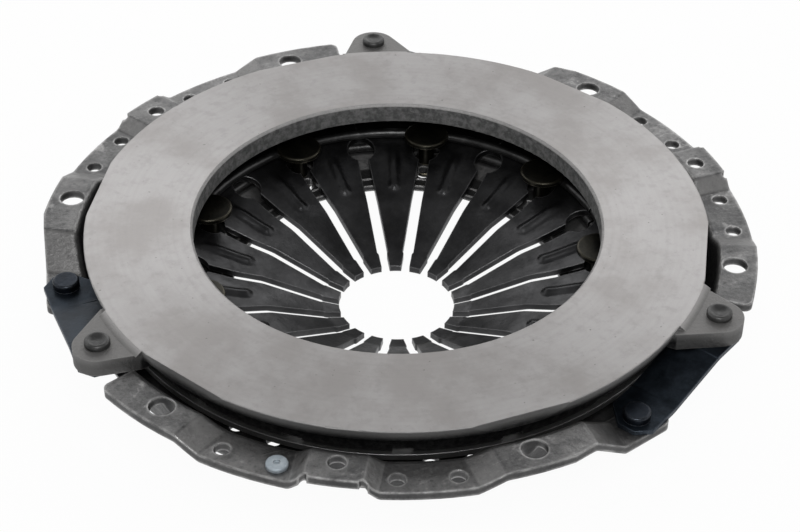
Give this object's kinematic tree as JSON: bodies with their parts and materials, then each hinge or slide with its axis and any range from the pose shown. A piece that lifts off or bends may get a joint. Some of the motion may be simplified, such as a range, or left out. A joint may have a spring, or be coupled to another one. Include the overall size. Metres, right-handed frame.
{
  "type": "clutch pressure plate",
  "caption": "Diaphragm-spring clutch pressure plate: stamped cover with bolt pads, cast ring plate hung on leaf straps, and a slotted spring disc held by wire rings and spacer rivets.",
  "frame": {"origin": "centre of the bolt circle on the mounting plane, where the cover's pads meet the flywheel", "axes": "+Z along the clutch's axis towards the flywheel, +X through a dowel hole, +Y completes the right-handed frame"},
  "size_m": [0.262, 0.265, 0.0431],
  "materials": {
    "stamped_cover_steel": "pressed steel sheet with an oily grey phosphate skin, scuffed on its high spots",
    "machined_cast_iron": "ground friction face, rough as-cast rim and lugs",
    "blackened_spring_steel": "smooth oil-blackened, lighter on rubbed edges",
    "drawn_wire": "smooth oiled wire",
    "oiled_rivet_steel": "dark oiled, brassy tint on the rim",
    "blued_strap_steel": "smooth dark blue-black",
    "blued_rivet_steel": "satin blue-black",
    "dark_rivet_steel": "dull dark grey",
    "zinc_plated_rivet": "bright zinc plating, slightly blue"
  },
  "bodies": {
    "cover": {"cover": "stamped_cover_steel", "diaphragm_spring": "blackened_spring_steel", "fulcrum_ring_front": "drawn_wire", "fulcrum_ring_rear": "drawn_wire", "spacer_rivets": "oiled_rivet_steel", "drive_strap_1_leaf_1": "blued_strap_steel", "drive_strap_1_leaf_2": "blued_strap_steel", "drive_strap_1_leaf_3": "blued_strap_steel", "drive_strap_2_leaf_1": "blued_strap_steel", "drive_strap_2_leaf_2": "blued_strap_steel", "drive_strap_2_leaf_3": "blued_strap_steel", "drive_strap_3_leaf_1": "blued_strap_steel", "drive_strap_3_leaf_2": "blued_strap_steel", "drive_strap_3_leaf_3": "blued_strap_steel", "strap_rivet_cover_1": "blued_rivet_steel", "strap_rivet_cover_2": "blued_rivet_steel", "strap_rivet_cover_3": "blued_rivet_steel", "balance_rivet": "zinc_plated_rivet"},
    "pressure_plate": {"pressure_plate": "machined_cast_iron", "strap_rivet_lug_1": "dark_rivet_steel", "strap_rivet_lug_2": "dark_rivet_steel", "strap_rivet_lug_3": "dark_rivet_steel"}
  },
  "joints": [
    {"name": "plate_travel", "type": "slide", "parent": "cover", "child": "pressure_plate", "axis": [0, 0, 1], "range_m": [-0.005, 0], "stiffness_N_per_m": 20000, "deforming": ["diaphragm_spring", "drive_strap_1_leaf_1", "drive_strap_1_leaf_2", "drive_strap_1_leaf_3", "drive_strap_2_leaf_1", "drive_strap_2_leaf_2", "drive_strap_2_leaf_3", "drive_strap_3_leaf_1", "drive_strap_3_leaf_2", "drive_strap_3_leaf_3"]}
  ]
}
